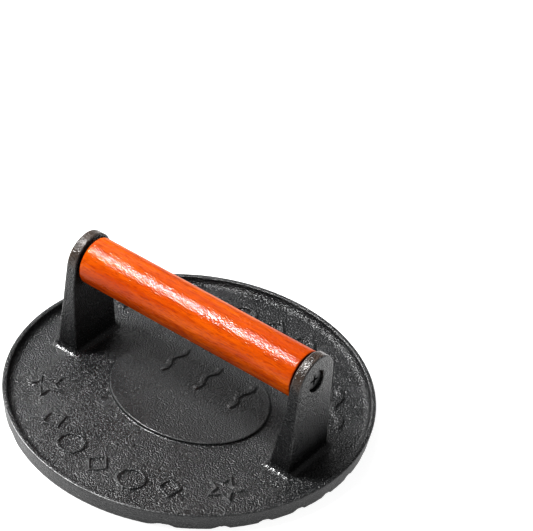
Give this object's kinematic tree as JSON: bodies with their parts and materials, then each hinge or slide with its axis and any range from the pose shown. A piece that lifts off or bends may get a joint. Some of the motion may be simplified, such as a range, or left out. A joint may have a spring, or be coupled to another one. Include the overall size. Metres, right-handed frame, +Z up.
{
  "type": "bacon press",
  "caption": "Round cast-iron bacon press with a rimmed top, grooved underside, upright end posts and a wooden roller grip held between them by a long recessed screw.",
  "frame": {"origin": "centre of the underside, on the plane of the lands between the grooves", "axes": "+Z up, away from the food; +X along the grip, towards the post that holds the screw's head"},
  "size_m": [0.2098, 0.2098, 0.0772],
  "materials": {
    "cast_iron": "pre-seasoned, pebbled sand-cast skin",
    "lacquered_wood": "orange-red stain under gloss lacquer",
    "screw_steel": "black oxide"
  },
  "bodies": {
    "press_frame": {"press_casting": "cast_iron", "handle_screw": "screw_steel"},
    "grip": {"grip": "lacquered_wood"}
  },
  "joints": [
    {"name": "grip_spin", "type": "hinge", "parent": "press_frame", "child": "grip", "pos_m": [0, 0, 0.0618], "axis": [1, 0, 0], "continuous": true}
  ]
}
